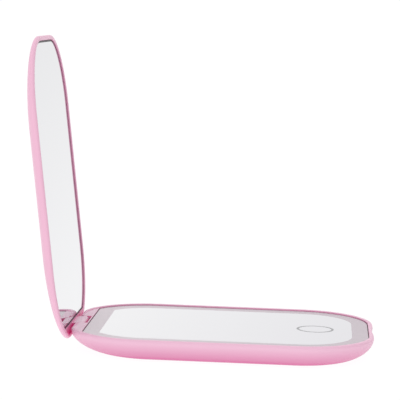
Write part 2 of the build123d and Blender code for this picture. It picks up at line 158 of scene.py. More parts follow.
def rod(centre: Vector, radius: float, length: float, upright: bool = False) -> bpy.types.Object:
    """Adds a round bar along the width, or standing upright.

    Args:
        centre: The middle of the bar.
        radius: Its radius.
        length: Its length.
        upright: True for a bar along the height.

    Returns:
        The bar.
    """
    turn = (0, 0, 0) if upright else (radians(90), 0, 0)
    bpy.ops.object.select_all(action="DESELECT")
    bpy.ops.mesh.primitive_cylinder_add(
        vertices=ROD_SIDES, radius=radius, depth=length, location=centre, rotation=turn
    )
    bpy.ops.object.transform_apply()
    return bpy.context.object


def combine(piece: bpy.types.Object, tool: bpy.types.Object, operation: str = "DIFFERENCE") -> None:
    """Cuts a piece with a tool, or joins the tool to it, and removes the tool.

    Args:
        piece: The piece that is changed.
        tool: The closed shape that cuts or joins.
        operation: The kind of combination, as Blender names it.
    """
    modifier = piece.modifiers.new("combine", "BOOLEAN")
    modifier.operation = operation
    modifier.solver = "EXACT"
    modifier.object = tool
    make_active(piece)
    bpy.ops.object.modifier_apply(modifier=modifier.name)
    bpy.data.objects.remove(tool)


def cut_back(piece: bpy.types.Object, back: float) -> None:
    """Cuts off everything behind a plane across the width, and closes the cut.

    Args:
        piece: The closed piece to cut.
        back: The plane's place along the length.
    """
    with edit(piece):
        bpy.ops.mesh.select_all(action="SELECT")
        bpy.ops.mesh.bisect(plane_co=(back, 0, 0), plane_no=(1, 0, 0), use_fill=True, clear_inner=True)


def complete(
    piece: bpy.types.Object,
    name: str,
    body: Body,
    node: str | None,
    materials: list[bpy.types.Material],
    turn: Matrix | None = None,
) -> None:
    """Brings a finished piece to metres, dresses it and lets it ride on its body.

    Args:
        piece: The piece, modelled in millimetres.
        name: Its name.
        body: The body that it moves with.
        node: The CAD node that it stands for, if it has one.
        materials: Its materials, in the order of its faces' numbers.
        turn: How it is turned from where it was modelled.
    """
    with edit(piece):
        bpy.ops.mesh.select_all(action="SELECT")
        bpy.ops.mesh.remove_doubles(threshold=MERGE_DISTANCE)
        bpy.ops.mesh.dissolve_degenerate(threshold=MERGE_DISTANCE)
        bpy.ops.mesh.delete_loose()
    piece.matrix_world = Matrix.Scale(MM, 4) @ (turn or Matrix.Identity(4))
    make_active(piece)
    bpy.ops.object.transform_apply()
    bpy.ops.object.shade_smooth_by_angle(angle=SMOOTH_ANGLE)
    piece.name = name
    piece.data.name = name
    for material in materials:
        piece.data.materials.append(material)
    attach(piece, body.value)
    if node is not None:
        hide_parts(node)
    LOG.info("%s: %d faces on %s", name, len(piece.data.polygons), body.value)


# ----------------------------------------------------------------------------------------- outline


@dataclass(frozen=True)
class Insets:
    """How far a section is drawn in from the outline on each side."""

    side: float
    front: float
    hinge: float

    @classmethod
    def even(cls, inset: float) -> "Insets":
        """Returns the same inset on every side."""
        return cls(inset, inset, inset)

    def part(self, share: float) -> "Insets":
        """Returns a share of these insets."""
        return Insets(self.side * share, self.front * share, self.hinge * share)


@dataclass(frozen=True)
class Section:
    """One level of a lofted piece."""

    height: float
    insets: Insets
    dip: float = 0.0


@dataclass(frozen=True)
class Outline:
    """Rounded outline that every shell, frame and glass is drawn in from."""

    low_x: float
    high_x: float
    half_width: float
    corner_radius: float = 29.5
    corner_segments: int = 24
    run_cuts: int = 11
    front_cuts: int = 31
    dip_reach: float = 9.5

    def inset_at(self, place: Vector) -> float:
        """Works out how far a place lies within the outline.

        Args:
            place: The place, in millimetres.

        Returns:
            The distance to the outline, negative outside it.
        """
        middle, half_length = (self.low_x + self.high_x) / 2, (self.high_x - self.low_x) / 2
        along = abs(place.x - middle) - (half_length - self.corner_radius)
        across = abs(place.y) - (self.half_width - self.corner_radius)
        reach = Vector((max(along, 0), max(across, 0))).length + min(max(along, across), 0)
        return self.corner_radius - reach

    def ring(self, section: Section) -> bpy.types.Object:
        """Adds the outline at one level as a ring of edges.

        Args:
            section: The level, its insets and its finger dip.

        Returns:
            The ring.
        """
        insets = section.insets
        left, right = self.low_x + insets.hinge, self.high_x - insets.front
        half = self.half_width - insets.side
        middle = (left + right) / 2
        bpy.ops.object.select_all(action="DESELECT")
        bpy.ops.mesh.primitive_plane_add(size=1.0, location=(middle, 0, section.height))
        ring = bpy.context.object
        ring.scale = (right - left, 2 * half, 1)
        bpy.ops.object.transform_apply()
        with edit(ring):
            front_inset, hinge_inset = (insets.side + insets.front) / 2, (insets.side + insets.hinge) / 2
            self._round_corners(ring, lambda place: place.x > middle, front_inset)
            self._round_corners(ring, lambda place: place.x < left + TINY, hinge_inset)
            bpy.ops.mesh.select_all(action="SELECT")
            bpy.ops.mesh.delete(type="ONLY_FACE")
            self._divide(ring, lambda place: place.y > half - TINY, self.run_cuts)
            self._divide(ring, lambda place: place.y < TINY - half, self.run_cuts)
            self._divide(ring, lambda place: place.x < left + TINY, self.run_cuts)
            self._divide(ring, lambda place: place.x > right - TINY, self.front_cuts)
            if section.dip:
                self._press_dip(ring, right, section.dip)
        return ring

    def _round_corners(self, ring: bpy.types.Object, chosen: Callable[[Vector], bool], inset: float) -> None:
        """Rounds the chosen corners of a ring, by the outline's radius less the inset.

        Args:
            ring: The ring, open in edit mode.
            chosen: Says of a place whether its corner is rounded.
            inset: How far the corners are drawn in.
        """
        pick(ring, chosen)
        bpy.ops.mesh.bevel(
            offset=self.corner_radius - inset,
            segments=self.corner_segments,
            profile=0.5,
            affect="VERTICES",
            clamp_overlap=False,
        )

    @staticmethod
    def _divide(ring: bpy.types.Object, chosen: Callable[[Vector], bool], cuts: int) -> None:
        """Divides the straight run between two chosen vertices."""
        pick(ring, chosen)
        bpy.ops.mesh.subdivide(number_cuts=cuts)

    def _press_dip(self, ring: bpy.types.Object, right: float, depth: float) -> None:
        """Presses the middle of the front run in for a fingertip.

        Args:
            ring: The ring, open in edit mode.
            right: Where the front run lies along the length.
            depth: How deep the dip is.
        """
        pick(ring, lambda place: place.x > right - TINY and abs(place.y) < TINY)
        bpy.ops.transform.translate(
            value=(-depth, 0, 0),
            use_proportional_edit=True,
            proportional_edit_falloff="SMOOTH",
            proportional_size=self.dip_reach,
        )

    def loft(self, sections: list[Section]) -> bpy.types.Object:
        """Bridges the outline's rings, level by level, into one closed skin.

        Args:
            sections: The levels, in order along the skin.

        Returns:
            The closed piece, with its faces outwards.
        """
        rings = [self.ring(section) for section in sections]
        for number, ring in enumerate(rings):
            group = ring.vertex_groups.new(name=f"ring_{number:02d}")
            group.add(range(len(ring.data.vertices)), 1.0, "REPLACE")
        bpy.ops.object.select_all(action="DESELECT")
        for ring in rings:
            ring.select_set(True)
        bpy.context.view_layer.objects.active = rings[0]
        bpy.ops.object.join()
        skin = rings[0]
        last = len(sections) - 1
        with edit(skin):
            for number in range(last):
                self._pick_rings(skin, number, number + 1)
                bpy.ops.mesh.bridge_edge_loops()
            for number in (0, last):
                self._pick_rings(skin, number)
                bpy.ops.mesh.edge_face_add()
            bpy.ops.mesh.select_all(action="SELECT")
            bpy.ops.mesh.normals_make_consistent(inside=False)
        bpy.ops.object.vertex_group_remove(all=True)
        return skin

    @staticmethod
    def _pick_rings(skin: bpy.types.Object, *numbers: int) -> None:
        """Selects the vertices of the numbered rings.

        Args:
            skin: The joined rings, open in edit mode.
            *numbers: The numbers of the rings.
        """
        bpy.ops.mesh.select_all(action="DESELECT")
        for number in numbers:
            skin.vertex_groups.active_index = number
            bpy.ops.object.vertex_group_select()

    def slab(self, low: float, high: float, insets: Insets, back: float | None = None) -> bpy.types.Object:
        """Makes a flat plate of the outline, cut off straight at the hinge end if asked.

        Args:
            low: Height of its underside.
            high: Height of its top.
            insets: How far it is drawn in.
            back: Where it is cut off, if it is.

        Returns:
            The closed plate.
        """
        plate = self.loft([Section(low, insets), Section(high, insets)])
        if back is not None:
            cut_back(plate, back)
        return plate


@dataclass(frozen=True)
class CurvedBack:
    """Pebble curve from a shell's rim to its flat face."""

    insets: Insets
    power: float
    steps: int = 15

    def sections(self, start: float, depth: float, wall: float = 0.0) -> list[Section]:
        """Works out the levels of the curve.

        Args:
            start: Height where the shell is widest.
            depth: Distance to the flat face, negative downwards.
            wall: Wall thickness that the curve is drawn in by.

        Returns:
            The levels, from the widest to the flat face.
        """
        levels = []
        for step in range(self.steps + 1):
            angle = radians(90 * step / self.steps)
            draw_in = 1 - abs(cos(angle)) ** (2 / self.power)
            drawn = self.insets.part(draw_in)
            levels.append(
                Section(
                    start + depth * sin(angle) ** (2 / self.power),
                    Insets(drawn.side + wall, drawn.front + wall, drawn.hinge + wall),
                )
            )
        return levels


def edge_round(plane: float, radius: float, outwards: float) -> list[Section]:
    """Works out the quarter-round between a rim's flat top and its side.

    Args:
        plane: Height of the rim's flat top.
        radius: Radius of the round.
        outwards: The direction from the rim's top to the shell's back, 1 or -1.

    Returns:
        The levels, from the flat top outwards.
    """
    levels = []
    for angle in EDGE_ANGLES:
        inset = radius * (1 - sin(radians(angle)))
        levels.append(Section(plane + outwards * radius * (1 - cos(radians(angle))), Insets.even(inset)))
    return levels


def lip_flare(plane: float, radius: float, wall: float, outwards: float) -> list[Section]:
    """Works out the small round between a rim's flat top and its inner wall.

    Args:
        plane: Height of the rim's flat top.
        radius: Radius of the round.
        wall: Width of the rim.
        outwards: The direction from the rim's top to the shell's back, 1 or -1.

    Returns:
        The levels, from the inner wall to the flat top.
    """
    levels = []
    for angle in LIP_ANGLES:
        inset = wall - radius * (1 - cos(radians(angle)))
        levels.append(Section(plane + outwards * radius * (1 - sin(radians(angle))), Insets.even(inset)))
    return levels


# ---------------------------------------------------------------------------------------- finishes


def object_axis(tree: bpy.types.NodeTree, axis: str) -> bpy.types.NodeSocket:
    """Adds the nodes that read how far along one axis a place lies, in metres.

    Args:
        tree: The material's node tree.
        axis: The axis, as the separating node names it.

    Returns:
        The socket of that distance.
    """
    place = tree.nodes.new("ShaderNodeTexCoord")
    parts = tree.nodes.new("ShaderNodeSeparateXYZ")
    tree.links.new(place.outputs["Object"], parts.inputs["Vector"])
    return parts.outputs[axis]


def blend(
    tree: bpy.types.NodeTree,
    value: bpy.types.NodeSocket,
    limits: tuple[float, float],
    first: Colour,
    second: bpy.types.NodeSocket,
) -> bpy.types.NodeSocket:
    """Blends one colour into another as a value goes from one limit to the other.

    Args:
        tree: The material's node tree.
        value: The value that drives the blend.
        limits: The values of the pure first and the pure second colour.
        first: The first colour.
        second: The socket of the second colour.

    Returns:
        The socket of the blended colour.
    """
    share = tree.nodes.new("ShaderNodeMapRange")
    share.inputs["From Min"].default_value, share.inputs["From Max"].default_value = limits
    tree.links.new(value, share.inputs["Value"])
    mix = tree.nodes.new("ShaderNodeMix")
    mix.data_type = "RGBA"
    mix.inputs["A"].default_value = (*first, 1)
    tree.links.new(share.outputs["Result"], mix.inputs["Factor"])
    tree.links.new(second, mix.inputs["B"])
    return mix.outputs["Result"]


@dataclass(frozen=True)
class Finish:
    """Procedural finish of one material slot."""

    slot: str
    light: Colour
    dark: Colour
    roughness: tuple[float, float] = (0.4, 0.5)
    metallic: float = 0.0
    pattern: Pattern = Pattern.GRAIN
    scale: float = 900.0
    bump: float = 0.05
    transmission: float = 0.0
    coat: float = 0.0
    edge_tint: float = 1.0
    specular: float = 0.5

    def material(self) -> bpy.types.Material:
        """Builds the material: one pattern drives colour, roughness and fine relief.

        Returns:
            The new material.
        """
        material = bpy.data.materials.new(self.slot)
        material.use_nodes = True
        tree = material.node_tree
        shader = tree.nodes["Principled BSDF"]
        shader.inputs["Metallic"].default_value = self.metallic
        shader.inputs["Transmission Weight"].default_value = self.transmission
        shader.inputs["Coat Weight"].default_value = self.coat
        shader.inputs["Coat Roughness"].default_value = COAT_ROUGHNESS
        shader.inputs["Specular IOR Level"].default_value = self.specular
        shader.inputs["Specular Tint"].default_value = (self.edge_tint, self.edge_tint, self.edge_tint, 1)
        value = self._pattern(tree)
        colours = tree.nodes.new("ShaderNodeMix")
        colours.data_type = "RGBA"
        colours.inputs["A"].default_value = (*self.dark, 1)
        colours.inputs["B"].default_value = (*self.light, 1)
        tree.links.new(value, colours.inputs["Factor"])
        tree.links.new(self._shade(tree, colours.outputs["Result"]), shader.inputs["Base Color"])
        spread = tree.nodes.new("ShaderNodeMapRange")
        spread.inputs["To Min"].default_value = self.roughness[0]
        spread.inputs["To Max"].default_value = self.roughness[1]
        tree.links.new(value, spread.inputs["Value"])
        tree.links.new(spread.outputs["Result"], shader.inputs["Roughness"])
        relief = tree.nodes.new("ShaderNodeBump")
        relief.inputs["Strength"].default_value = self.bump
        relief.inputs["Distance"].default_value = RELIEF_HEIGHT
        tree.links.new(value, relief.inputs["Height"])
        tree.links.new(relief.outputs["Normal"], shader.inputs["Normal"])
        return material

    def _pattern(self, tree: bpy.types.NodeTree) -> bpy.types.NodeSocket:
        """Adds the nodes of the pattern.

        Args:
            tree: The material's node tree.

        Returns:
            The socket of the pattern's value, from 0 to 1.
        """
        place = tree.nodes.new("ShaderNodeTexCoord")
        stretch = tree.nodes.new("ShaderNodeMapping")
        tree.links.new(place.outputs["Object"], stretch.inputs["Vector"])
        if self.pattern is Pattern.CELLS:
            texture = tree.nodes.new("ShaderNodeTexVoronoi")
            output = texture.outputs["Distance"]
        elif self.pattern is Pattern.TRACKS:
            texture = tree.nodes.new("ShaderNodeTexBrick")
            for socket, shade in zip(("Color1", "Color2", "Mortar"), TRACK_SHADES):
                texture.inputs[socket].default_value = (shade, shade, shade, 1)
            output = texture.outputs["Color"]
        else:
            texture = tree.nodes.new("ShaderNodeTexNoise")
            texture.inputs["Detail"].default_value = NOISE_DETAIL
            output = texture.outputs["Fac"]
        if self.pattern is Pattern.BRUSHED:
            stretch.inputs["Scale"].default_value = BRUSHED_STRETCH
        texture.inputs["Scale"].default_value = self.scale
        tree.links.new(stretch.outputs["Vector"], texture.inputs["Vector"])
        return output

    def _shade(self, tree: bpy.types.NodeTree, colour: bpy.types.NodeSocket) -> bpy.types.NodeSocket:
        """Returns the colour unchanged; a finish with painted shade overrides this."""
        return colour


@dataclass(frozen=True)
class ShellPlastic(Finish):
    """Satin pink plastic with painted shade: a deep magenta painted into its crevices and, if asked, a
    deeper pink painted towards the underside.
    """

    # Painted shade: deep magenta painted into crevices and between parts, where less light reaches and it
    # bounces pink within the plastic.
    crevice_painted_shade: Colour = (0.80, 0.012, 0.29)
    painted_shade_reach: float = 2.5 * MM
    shut_share: float = 0.2
    open_share: float = 0.8
    # Painted shade: a deeper pink painted towards the underside, between the heights low and high, where
    # less light falls.
    underside: Colour | None = None
    low: float = 0.0
    high: float = 7.5 * MM

    def _shade(self, tree: bpy.types.NodeTree, colour: bpy.types.NodeSocket) -> bpy.types.NodeSocket:
        """Mixes in the painted shade by how shut in a place is, and by its height.

        Args:
            tree: The material's node tree.
            colour: The socket of the plain colour.

        Returns:
            The socket of the deepened colour.
        """
        # Painted shade: ambient occlusion blends the crevice colour in where a place is shut in.
        shut_in = tree.nodes.new("ShaderNodeAmbientOcclusion")
        shut_in.samples = AO_SAMPLES
        shut_in.inputs["Distance"].default_value = self.painted_shade_reach
        colour = blend(tree, shut_in.outputs["AO"], (self.shut_share, self.open_share), self.crevice_painted_shade, colour)
        if self.underside is None:
            return colour
        # Painted shade: darker towards the underside, by height.
        return blend(tree, object_axis(tree, "Z"), (self.low, self.high), self.underside, colour)


@dataclass(frozen=True)
class Silvering(Finish):
    """Mirror silver with painted shade: its colour darkens towards one end of the glass, standing in for a
    dimmer reflection there.
    """

    # Painted shade: the tone that the glass is painted towards at its far end, for the dimmer reflection and
    # light there.
    painted_shade_tone: Colour = (0.8, 0.8, 0.81)
    axis: str = "X"
    start: float = 0.0
    end: float = 1.0

    def _shade(self, tree: bpy.types.NodeTree, colour: bpy.types.NodeSocket) -> bpy.types.NodeSocket:
        """Mixes towards the painted shade tone along the glass."""
        return blend(tree, object_axis(tree, self.axis), (self.end, self.start), self.painted_shade_tone, colour)


BASE_PINK = ShellPlastic(
    # underside: painted shade towards the bottom of the base.
    "base_pink", light=(0.93, 0.57, 0.73), dark=(0.89, 0.53, 0.69), underside=(0.68, 0.14, 0.35),
    roughness=(0.34, 0.42), scale=2600.0, bump=0.04, specular=0.2,
)
LID_PINK = ShellPlastic(
    "lid_pink", light=(0.94, 0.55, 0.72), dark=(0.90, 0.52, 0.68),
    roughness=(0.34, 0.42), scale=2600.0, bump=0.04, specular=0.2,
)
FRAME_PINK = ShellPlastic(
    "frame_pink", light=(0.93, 0.65, 0.78), dark=(0.87, 0.59, 0.72), roughness=(0.42, 0.5), scale=2600.0,
    bump=0.05, painted_shade_reach=3.5 * MM, open_share=0.85,
)
# The mirrors and the frosted border darken along their length with painted shade, not a change in the glass.
SILVERED = Silvering(
    "silvered_glass", light=(0.855, 0.852, 0.87), dark=(0.845, 0.842, 0.86),
    roughness=(0.0, 0.015), metallic=1.0, scale=60.0, bump=0.0, edge_tint=0.95,
    painted_shade_tone=(0.71, 0.70, 0.74), start=-50 * MM, end=45 * MM,
)
LID_SILVERED = Silvering(
    "lid_silvered_glass", light=(0.87, 0.872, 0.895), dark=(0.86, 0.862, 0.885),
    roughness=(0.0, 0.015), metallic=1.0, scale=60.0, bump=0.0, edge_tint=0.94,
    painted_shade_tone=(0.74, 0.742, 0.765), axis="Z", start=20 * MM, end=115 * MM,
)
FROSTED = Silvering(
    "frosted_border", light=(0.80, 0.73, 0.77), dark=(0.73, 0.66, 0.70),
    roughness=(0.45, 0.6), metallic=0.35, scale=3200.0, bump=0.12,
    painted_shade_tone=(0.63, 0.56, 0.605), start=-50 * MM, end=30 * MM,
)
# Dark band on the glass's edge: partly the glass's own dark edge, partly painted shade of the gap between
# glass and rim.
DARK_EDGE_AND_GAP_SHADE = Finish(
    "dark_glass_edge_and_gap_shade", light=(0.05, 0.035, 0.045), dark=(0.02, 0.015, 0.02),
    roughness=(0.3, 0.45), scale=2000.0, specular=0.1,
)
TOUCH_GREY = Finish(
    "touch_grey", light=(0.44, 0.44, 0.45), dark=(0.38, 0.38, 0.39), roughness=(0.5, 0.6), scale=3000.0
)
INNER_FINISHES = {
    "tape": Finish("tape", (0.03, 0.03, 0.03), (0.015, 0.015, 0.015), (0.6, 0.75), scale=1800.0),
    "clear_acrylic": Finish(
        "clear_acrylic", (0.95, 0.97, 1.0), (0.9, 0.93, 0.97), (0.02, 0.08), scale=300.0, transmission=0.9
    ),
    "white_film": Finish("white_film", (0.92, 0.92, 0.93), (0.84, 0.84, 0.86), (0.3, 0.4), scale=1500.0),
    "flex_circuit": Finish(
        "flex_circuit", (0.75, 0.42, 0.10), (0.45, 0.2, 0.04), pattern=Pattern.TRACKS, scale=260.0
    ),
    "led_body": Finish(
        "led_body", (0.95, 0.86, 0.45), (0.88, 0.76, 0.3), (0.2, 0.3), scale=1400.0, coat=0.6
    ),
    "foam": Finish(
        "foam", (0.14, 0.14, 0.15), (0.03, 0.03, 0.03), (0.85, 0.95),
        pattern=Pattern.CELLS, scale=1700.0, bump=0.6,
    ),
    "copper": Finish(
        "copper", (0.95, 0.55, 0.36), (0.75, 0.36, 0.2), (0.25, 0.4),
        metallic=1.0, pattern=Pattern.BRUSHED, scale=3000.0, bump=0.1,
    ),
    "conductive_foam": Finish(
        "conductive_foam", (0.2, 0.2, 0.21), (0.07, 0.07, 0.07), (0.7, 0.85),
        pattern=Pattern.CELLS, scale=2600.0, bump=0.5,
    ),
    "circuit_board": Finish(
        "circuit_board", (0.02, 0.22, 0.09), (0.01, 0.10, 0.04), (0.3, 0.45),
        pattern=Pattern.TRACKS, scale=420.0, bump=0.3, coat=0.4,
    ),
    "chip_black": Finish(
        "chip_black", (0.03, 0.03, 0.032), (0.012, 0.012, 0.012), (0.5, 0.65), scale=3500.0
    ),
    "screw_steel": Finish(
        "screw_steel", (0.72, 0.71, 0.69), (0.5, 0.49, 0.47), (0.2, 0.35),
        metallic=1.0, pattern=Pattern.BRUSHED, scale=4000.0, bump=0.12,
    ),
    "socket_steel": Finish(
        "socket_steel", (0.78, 0.78, 0.78), (0.6, 0.6, 0.6), (0.18, 0.3),
        metallic=1.0, pattern=Pattern.BRUSHED, scale=2500.0, bump=0.08,
    ),
    "battery_foil": Finish(
        "battery_foil", (0.8, 0.8, 0.82), (0.62, 0.62, 0.65), (0.25, 0.4),
        metallic=0.9, pattern=Pattern.GRAIN, scale=700.0, bump=0.2,
    ),
    "lead_red": Finish("lead_red", (0.6, 0.03, 0.03), (0.4, 0.015, 0.015), (0.35, 0.5), scale=2200.0),
    "magnet_nickel": Finish(
        "magnet_nickel", (0.8, 0.77, 0.72), (0.66, 0.63, 0.58), (0.1, 0.2),
        metallic=1.0, pattern=Pattern.GRAIN, scale=1500.0, bump=0.05,
    ),
    "pin_steel": Finish(
        "pin_steel", (0.6, 0.6, 0.61), (0.42, 0.42, 0.43), (0.22, 0.35),
        metallic=1.0, pattern=Pattern.BRUSHED, scale=5000.0, bump=0.08,
    ),
    "bush_steel": Finish(
        "bush_steel", (0.5, 0.49, 0.47), (0.34, 0.33, 0.32), (0.3, 0.45),
        metallic=1.0, pattern=Pattern.BRUSHED, scale=4000.0, bump=0.1,
    ),
    "pink_frame": FRAME_PINK,
}


NODE_SLOTS = (
    ("pink_frame", "base_frame"),
    ("pink_frame", "lid_frame"),
    ("tape", "glass_tape"),
    ("tape", "mirror_tape"),
    ("tape", "battery_tape"),
    ("clear_acrylic", "light_guide"),
    ("white_film", "reflector_sheet"),
    ("flex_circuit", "led_strips"),
    ("led_body", "leds"),
    ("foam", "foam_pad"),
    ("copper", "touch_pad"),
    ("conductive_foam", "touch_post"),
    ("circuit_board", "main_board"),
    ("chip_black", "board_chips"),
    ("screw_steel", "board_screws"),
    ("screw_steel", "frame_screws"),
    ("socket_steel", "usb_socket"),
    ("battery_foil", "battery"),
    ("lead_red", "battery_leads"),
    ("magnet_nickel", "base_magnets"),
    ("magnet_nickel", "lid_magnets"),
    ("pin_steel", "hinge_pin"),
    ("bush_steel", "friction_bush"),
)


# ------------------------------------------------------------------------------------------ places


def node_box(node: str, turn: Matrix | None = None) -> tuple[Vector, Vector]:
    """Measures a CAD node in millimetres.

    Args:
        node: The node's name.
        turn: A turn undone before measuring, for a node of the open lid.

    Returns:
        Its lowest and highest corners.
    """
    undo = (turn or Matrix.Identity(4)).inverted()
    places = [undo @ (vertex.co / MM) for vertex in frame["nodes"][node].data.vertices]
    low = Vector([min(place[axis] for place in places) for axis in range(3)])
    high = Vector([max(place[axis] for place in places) for axis in range(3)])
    return low, high


@dataclass(frozen=True)
class Hinge:
    """The hinge's axis and how far the lid stands open."""

    x: float
    z: float
    opening: float

    @classmethod
    def of_frame(cls) -> "Hinge":
        """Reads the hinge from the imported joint.

        Returns:
            The hinge, in millimetres and degrees.
        """
        joint = frame["joints"][0]
        place = joint["pos_m"]
        return cls(place[0] / MM, place[2] / MM, -joint["range_deg"][0])

    def turn(self) -> Matrix:
        """Returns the turn that brings a piece of the shut lid to where it stands."""
        centre = Matrix.Translation((self.x, 0, self.z))
        return centre @ Matrix.Rotation(radians(-self.opening), 4, "Y") @ centre.inverted()


# -------------------------------------------------------------------------------------------- base


@dataclass
class Base:
    """The lower half: pebble shell, lighted glass panel and touch mark."""

    outline: Outline
    hinge: Hinge
    depth: float
    edge_radius: float = 0.95
    rim_width: float = 1.9
    lip: float = 0.25
    curve: CurvedBack = CurvedBack(Insets(side=10.0, front=11.9, hinge=15.8), power=1.85)
    floor: float = 1.2
    seat_height: float = 7.1
    block_front: float = 1.6
    block_top: float = 1.05
    end_radius: float = 2.5
    notch_radius: float = 2.4
    notch_half: float = 8.05
    notch_front: float = 2.9
    notch_lower_edge: float = 0.3
    pin_radius: float = 0.75
    dip: float = 0.8
    top_dip: float = 0.45
    post_radius: float = 2.4
    pilot_radius: float = 0.9
    plug_margin: float = 0.3
    plug_segments: int = 10
    border: float = 6.6
    # Width of the dark edge band: partly the glass's own edge, partly painted shade of the gap to the rim.
    dark_edge_and_gap_shade: float = 0.25
    marking: float = 0.3
    mark_radius: float = 7.45
    mark_line: float = 1.0
    mark_height: float = 0.02
    mark_sides: int = 96

    def build(self) -> None:
        """Builds every visible piece of the base."""
        self.shell()
        self.panel()
        self.touch_mark()

    def shell(self) -> None:
        """Builds the pebble-shaped base shell."""
        top = self.depth
        rim = edge_round(top, self.edge_radius, -1)
        back = self.curve.sections(top - self.edge_radius, self.edge_radius - top)
        levels = [Section(s.height, s.insets, self._dip_at(s)) for s in rim + back]
        shell = self.outline.loft(levels)
        combine(shell, self._pocket())
        combine(shell, self._cavity())
        self._cut_hinge_end(shell)
        self._cut_plug_opening(shell)
        self._add_posts(shell)
        complete(shell, "moulded_base", Body.BASE, "base_shell", [BASE_PINK.material()])

    def _dip_at(self, section: Section) -> float:
        """Works out how deep the finger dip is at a level of the shell."""
        reach = self.dip - section.insets.front
        return max(reach, self.top_dip if section.height > self.depth - self.edge_radius else 0.0)

    def _pocket(self) -> bpy.types.Object:
        """Makes the cutter of the recess that the panel and the hinge strip sit in.

        Returns:
            The cutter.
        """
        low = self.hinge.z + self.block_top
        rim = Section(low, Insets.even(self.rim_width))
        flare = lip_flare(self.depth, self.lip, self.rim_width, -1)
        above = Section(self.depth + CUT_CLEARANCE, Insets.even(self.rim_width - self.lip))
        return self.outline.loft([rim, *flare, above])

    def _cavity(self) -> bpy.types.Object:
        """Makes the cutter of the hollow that holds the electronics.

        Returns:
            The cutter, its wall a little within that of the recess, so that no two faces coincide.
        """
        wall = self.rim_width + WALL_STEP
        curve = self.curve.sections(self.seat_height, self.floor - self.seat_height, wall)
        hollow = self.outline.loft([Section(self.depth - self.edge_radius, Insets.even(wall)), *curve])
        cut_back(hollow, self.hinge.x + self.block_front)
        return hollow

    def _cut_hinge_end(self, shell: bpy.types.Object) -> None:
        """Rounds the shell's end about the hinge, and cuts the knuckle's notch and the pin's channel.

        Args:
            shell: The base shell.
        """
        x, z = self.hinge.x, self.hinge.z
        wide, far = self.outline.half_width + CUT_CLEARANCE, self.depth + CUT_CLEARANCE
        relief = block(Vector((x - far, -wide, z)), Vector((x, wide, z + far)))
        combine(relief, rod(Vector((x, 0, z)), self.end_radius, 2 * (wide + CUT_CLEARANCE)))
        combine(shell, relief)
        half = self.notch_half
        combine(shell, rod(Vector((x, 0, z)), self.notch_radius, 2 * half))
        combine(shell, block(Vector((x, -half, z)), Vector((x + self.notch_front, half, z + far))))
        edge = x + self.notch_lower_edge
        combine(shell, block(Vector((edge - far, -half, -CUT_CLEARANCE)), Vector((edge, half, z + far))))
        pin_half = node_box("hinge_pin")[1].y
        combine(shell, rod(Vector((x, 0, z)), self.pin_radius, 2 * pin_half))

    def _cut_plug_opening(self, shell: bpy.types.Object) -> None:
        """Cuts the rounded opening in front of the charging socket.

        Args:
            shell: The base shell.
        """
        low, high = node_box("usb_socket")
        margin = Vector((self.plug_margin, 0, self.plug_margin))
        opening = block(low - margin, high + margin + Vector((0, self.outline.half_width, 0)))
        with edit(opening):
            bpy.ops.mesh.select_mode(type="EDGE")
            shape = bmesh.from_edit_mesh(opening.data)
            for edge in shape.edges:
                edge.select_set(abs(edge.verts[0].co.y - edge.verts[1].co.y) > TINY)
            bmesh.update_edit_mesh(opening.data)
            bpy.ops.mesh.bevel(offset=(high.z - low.z) / 2, segments=self.plug_segments)
        combine(shell, opening)

    def _add_posts(self, shell: bpy.types.Object) -> None:
        """Adds the posts that the screws are driven into.

        Args:
            shell: The base shell.
        """
        foot = self.floor / 2
        frame_foot = node_box("base_frame")[0].z
        board_foot = node_box("main_board")[0].z
        for node, top in (("frame_screws", frame_foot), ("board_screws", board_foot)):
            for spot in screw_spots(node):
                middle = Vector((spot.x, spot.y, (foot + top) / 2))
                combine(shell, rod(middle, self.post_radius, top - foot, upright=True), "UNION")
                pilot = Vector((spot.x, spot.y, self.floor + self.depth / 2))
                combine(shell, rod(pilot, self.pilot_radius, self.depth, upright=True))

    def panel(self) -> None:
        """Builds the one-piece glass with its frosted border and clear middle."""
        low, high = node_box("base_glass")
        inset = self.outline.half_width - high.y
        glass = self.outline.slab(low.z, high.z, Insets.even(inset), low.x)
        zone_face(glass, self.outline, high.z, -self.marking, [self.dark_edge_and_gap_shade, self.border])
        materials = [DARK_EDGE_AND_GAP_SHADE.material(), FROSTED.material(), SILVERED.material()]
        complete(glass, "lighted_panel", Body.BASE, "base_glass", materials)

    def touch_mark(self) -> None:
        """Builds the thin ring printed over the touch sensor."""
        pad_low, pad_high = node_box("touch_pad")
        top = node_box("base_glass")[1].z
        centre = Vector(((pad_low.x + pad_high.x) / 2, 0, top))
        bpy.ops.object.select_all(action="DESELECT")
        bpy.ops.mesh.primitive_circle_add(
            vertices=self.mark_sides, radius=self.mark_radius, fill_type="NGON", location=centre
        )
        bpy.ops.object.transform_apply()
        mark = bpy.context.object
        with edit(mark):
            bpy.ops.mesh.select_all(action="SELECT")
            bpy.ops.mesh.inset(thickness=self.mark_line)
            bpy.ops.mesh.delete(type="FACE")
            bpy.ops.mesh.select_all(action="SELECT")
            bpy.ops.mesh.extrude_region_move(TRANSFORM_OT_translate={"value": (0, 0, self.mark_height)})
            bpy.ops.mesh.select_all(action="SELECT")
            bpy.ops.mesh.normals_make_consistent(inside=False)
        complete(mark, "touch_mark", Body.BASE, None, [TOUCH_GREY.material()])


def screw_spots(node: str) -> list[Vector]:
    """Finds where a group of screws stands.

    Args:
        node: The CAD node that holds the screws.

    Returns:
        The middle of each screw's foot.
    """
    places = [vertex.co / MM for vertex in frame["nodes"][node].data.vertices]
    foot = min(place.z for place in places)
    spots: list[list[Vector]] = []
    for place in (place for place in places if place.z < foot + TINY):
        near = next((spot for spot in spots if (spot[0] - place).length < MAX_SCREW_WIDTH), None)
        if near is None:
            spots.append([place])
        else:
            near.append(place)
    return [
        Vector([(min(p[axis] for p in spot) + max(p[axis] for p in spot)) / 2 for axis in range(3)])
        for spot in spots
    ]


